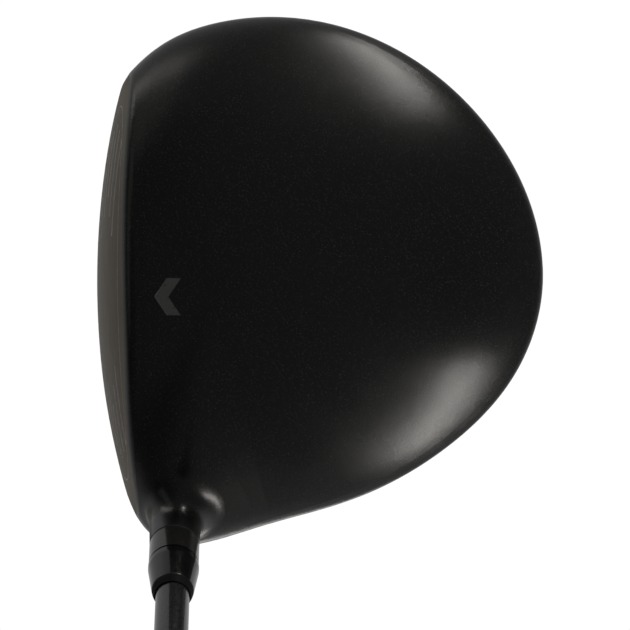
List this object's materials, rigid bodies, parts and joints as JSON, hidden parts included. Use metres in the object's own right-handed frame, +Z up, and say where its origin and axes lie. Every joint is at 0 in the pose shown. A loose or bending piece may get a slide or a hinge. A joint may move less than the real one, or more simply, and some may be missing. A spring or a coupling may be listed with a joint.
{
  "type": "golf driver",
  "caption": "Right-handed golf driver: hollow rounded head with adjustable keyed hosel, removable rear sole weight, tapered shaft and rubber grip.",
  "frame": {"origin": "on the flat keel pad of the sole, the point of the head that rests on the ground at address", "axes": "+X from the face to the back of the head (the target lies towards -X), +Y from the heel to the toe, +Z up from the ground; the shaft rises towards -Y at 59 degrees"},
  "size_m": [0.1152, 0.7097, 0.9974],
  "materials": {
    "titanium_black": "satin black coating on cast titanium",
    "titanium_face": "dark brushed coating on forged titanium",
    "carbon_black": "matte black paint on carbon composite",
    "mark_grey": "grey film",
    "carbon_gloss": "clear-coated woven carbon composite",
    "soft_glue": "tacky amber glue",
    "black_steel": "black oxide on alloy steel",
    "plain_steel": "turned stainless steel",
    "nylon": "black nylon",
    "black_aluminium": "black anodised, fine speckle",
    "ferrule_black": "polished black",
    "graphite": "dark clear-coated carbon tube",
    "brass_plug": "turned brass",
    "paper_tape": "crepe paper tape",
    "grip_rubber": "textured black rubber",
    "cap_rubber": "harder moulded rubber",
    "gasket_rubber": "black rubber"
  },
  "bodies": {
    "head": {"chassis": "titanium_black", "face_plate": "titanium_face", "crown_shell": "carbon_black", "alignment_mark": "mark_grey", "sole_panel_toe": "carbon_gloss", "sole_panel_heel": "carbon_gloss", "rattle_glue": "soft_glue", "hosel_washer": "plain_steel", "screw_retainer": "nylon", "weight_gasket": "gasket_rubber"},
    "shaft_assembly": {"loft_sleeve": "black_aluminium", "ferrule": "ferrule_black", "shaft": "graphite", "tip_plug": "brass_plug", "grip_tape": "paper_tape", "grip": "grip_rubber", "grip_cap": "cap_rubber"},
    "hosel_screw": {"hosel_screw": "black_steel"},
    "sole_weight": {"weight_puck": "plain_steel"},
    "weight_screw": {"weight_screw": "black_steel"}
  },
  "joints": [
    {"name": "sleeve_lift", "type": "slide", "parent": "head", "child": "shaft_assembly", "axis": [0, -0.5, 0.866], "range_m": [0, 0.0104]},
    {"name": "hosel_screw_turn", "type": "hinge", "parent": "head", "child": "hosel_screw", "pos_m": [-0.0096, -0.043, 0.01732], "axis": [0, 0.5, -0.866], "range_deg": [-1, 4681]},
    {"name": "weight_out", "type": "slide", "parent": "head", "child": "sole_weight", "axis": [0.4462, 0, -0.8949], "range_m": [0, 0.0072]},
    {"name": "weight_screw_turn", "type": "hinge", "parent": "sole_weight", "child": "weight_screw", "pos_m": [0.064, 0.001, 0.0172], "axis": [0.4462, 0, -0.8949], "range_deg": [-1, 3241]}
  ],
  "couplings": [
    {"joint": "hosel_screw_turn", "follows": "sleeve_lift", "rad_per_m": 7854},
    {"joint": "weight_screw_turn", "follows": "weight_out", "rad_per_m": 7854}
  ]
}
